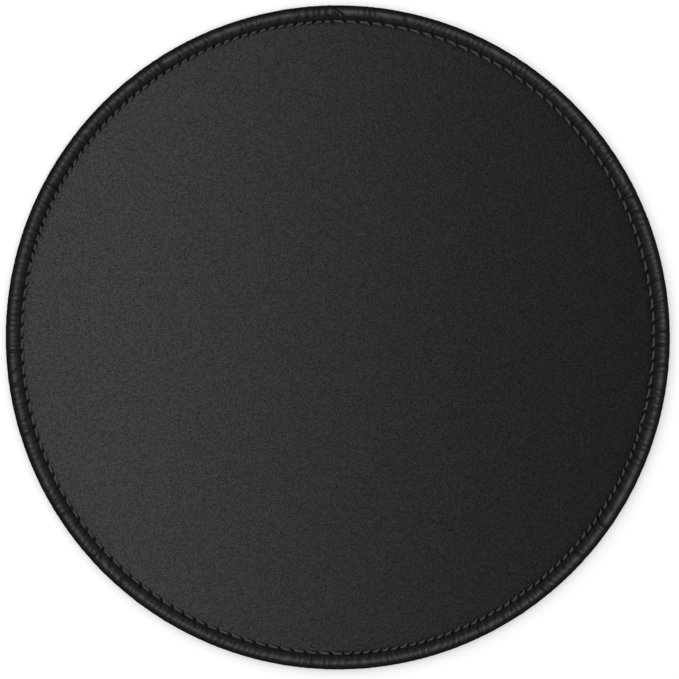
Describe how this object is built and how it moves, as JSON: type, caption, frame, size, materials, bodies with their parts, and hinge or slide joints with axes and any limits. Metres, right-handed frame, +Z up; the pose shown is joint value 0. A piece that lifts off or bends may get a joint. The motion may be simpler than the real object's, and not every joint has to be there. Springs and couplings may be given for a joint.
{
  "type": "mouse pad",
  "caption": "Round mouse pad of cloth laminated to foamed rubber, its edge bound with a rolled fabric tape and stitched round.",
  "frame": {"origin": "middle of the pad, on the surface that it lies on", "axes": "+Z up out of the cloth; +Y towards the join of the edge tape, which is the top of the picture; +X to the right of the picture"},
  "size_m": [0.22, 0.22, 0.0039],
  "materials": {
    "cloth": "fine black knitted polyester, matt with a faint sheen",
    "film": "thin translucent hot-melt film",
    "rubber": "foamed natural rubber, embossed underside",
    "tape": "smooth black elastic binding tape, puckered, with a soft sheen",
    "thread": "black polyester sewing thread, slightly shiny"
  },
  "bodies": {
    "root": {"surface_cloth": "cloth", "adhesive_film": "film", "rubber_base": "rubber", "edge_binding": "tape", "needle_thread": "thread", "bobbin_thread": "thread"}
  },
  "joints": []
}
